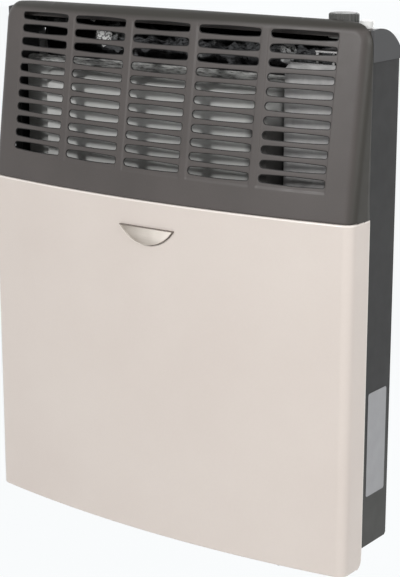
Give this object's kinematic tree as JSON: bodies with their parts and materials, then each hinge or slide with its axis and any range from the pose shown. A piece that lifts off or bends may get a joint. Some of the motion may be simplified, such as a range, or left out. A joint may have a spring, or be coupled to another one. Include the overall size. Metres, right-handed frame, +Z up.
{
  "type": "wall mounted gas heater",
  "caption": "Balanced-flue gas wall heater with a bowed beige front cover, a slotted grille that leans back, a top knob and igniter, and a burner in a sealed chamber",
  "frame": {"origin": "middle of the four wall holes, on the wall plane", "axes": "+X to the right seen from the room, +Y into the wall, +Z up"},
  "size_m": [0.53, 0.1526, 0.6409],
  "materials": {
    "cover_paint": "semi-gloss beige enamel",
    "grille_paint": "satin warm dark grey enamel",
    "case_paint": "satin dark grey enamel",
    "galvanised": "galvanised sheet",
    "aluminised": "aluminised sheet, matt",
    "foil": "crinkled foil",
    "steel": "zinc plated",
    "heat_steel": "heat tinted",
    "badge_metal": "satin silver",
    "plate_metal": "matt, bare",
    "die_cast": "die cast, matt",
    "brass": "turned",
    "copper": "copper pipe, dull",
    "gasket": "woven heat-proof gasket",
    "sight_glass": "clear, heat-proof",
    "ceramic": "glazed ceramic and steel wire",
    "knob_plastic": "moulded, dark grey",
    "white_plastic": "moulded, white",
    "grey_plastic": "moulded, dark grey",
    "lead": "silicone sleeve"
  },
  "bodies": {
    "root": {"back_panel": "galvanised", "side_panel_left": "case_paint", "side_panel_right": "case_paint", "base_rail": "galvanised", "top_sheet": "grille_paint", "end_cap_left": "grey_plastic", "end_cap_right": "grey_plastic", "foil_lining": "foil", "front_cover": "cover_paint", "cover_screws": "steel", "grille": "grille_paint", "badge": "badge_metal", "data_plate": "plate_metal", "chamber_front": "aluminised", "chamber_back": "aluminised", "chamber_supports": "galvanised", "baffle": "heat_steel", "air_duct": "galvanised", "air_collar": "galvanised", "exhaust_spigot": "aluminised", "flue_gasket": "gasket", "flue_screws": "steel", "burner_tube": "heat_steel", "burner_saddle": "heat_steel", "access_gasket": "gasket", "access_plate": "aluminised", "injector_holder": "brass", "injector": "brass", "pilot_plate": "aluminised", "pilot_burner": "brass", "thermocouple": "copper", "spark_electrode": "ceramic", "plate_screws": "steel", "window_gasket": "gasket", "window_glass": "sight_glass", "window_frame": "aluminised", "window_screws": "steel", "control_plate": "galvanised", "valve_shield": "galvanised", "valve_body": "die_cast", "valve_bonnet": "die_cast", "magnet_unit": "steel", "spindle_spring": "steel", "inlet_fitting": "brass", "fitting_bracket": "galvanised", "inlet_pipe": "copper", "burner_pipe": "copper", "pilot_pipe": "copper", "pipe_nuts": "brass", "spark_lead": "lead", "igniter_body": "white_plastic", "igniter_nut": "steel", "igniter_spring": "steel"},
    "plunger": {"valve_plunger": "brass"},
    "knob": {"valve_spindle": "steel", "control_knob": "knob_plastic"},
    "button": {"igniter_button": "white_plastic"}
  },
  "joints": [
    {"name": "knob_push", "type": "slide", "parent": "root", "child": "plunger", "axis": [0, 0, 1], "range_m": [-0.004, 0], "stiffness_N_per_m": 600, "springref_m": 0.004, "deforming": ["spindle_spring"]},
    {"name": "knob_turn", "type": "hinge", "parent": "plunger", "child": "knob", "pos_m": [0.2155, -0.045, 0.31], "axis": [0, 0, 1], "range_deg": [0, 180]},
    {"name": "igniter_push", "type": "slide", "parent": "root", "child": "button", "axis": [0, 0, 1], "range_m": [-0.008, 0], "stiffness_N_per_m": 400, "springref_m": 0.006, "deforming": ["igniter_spring"]}
  ]
}
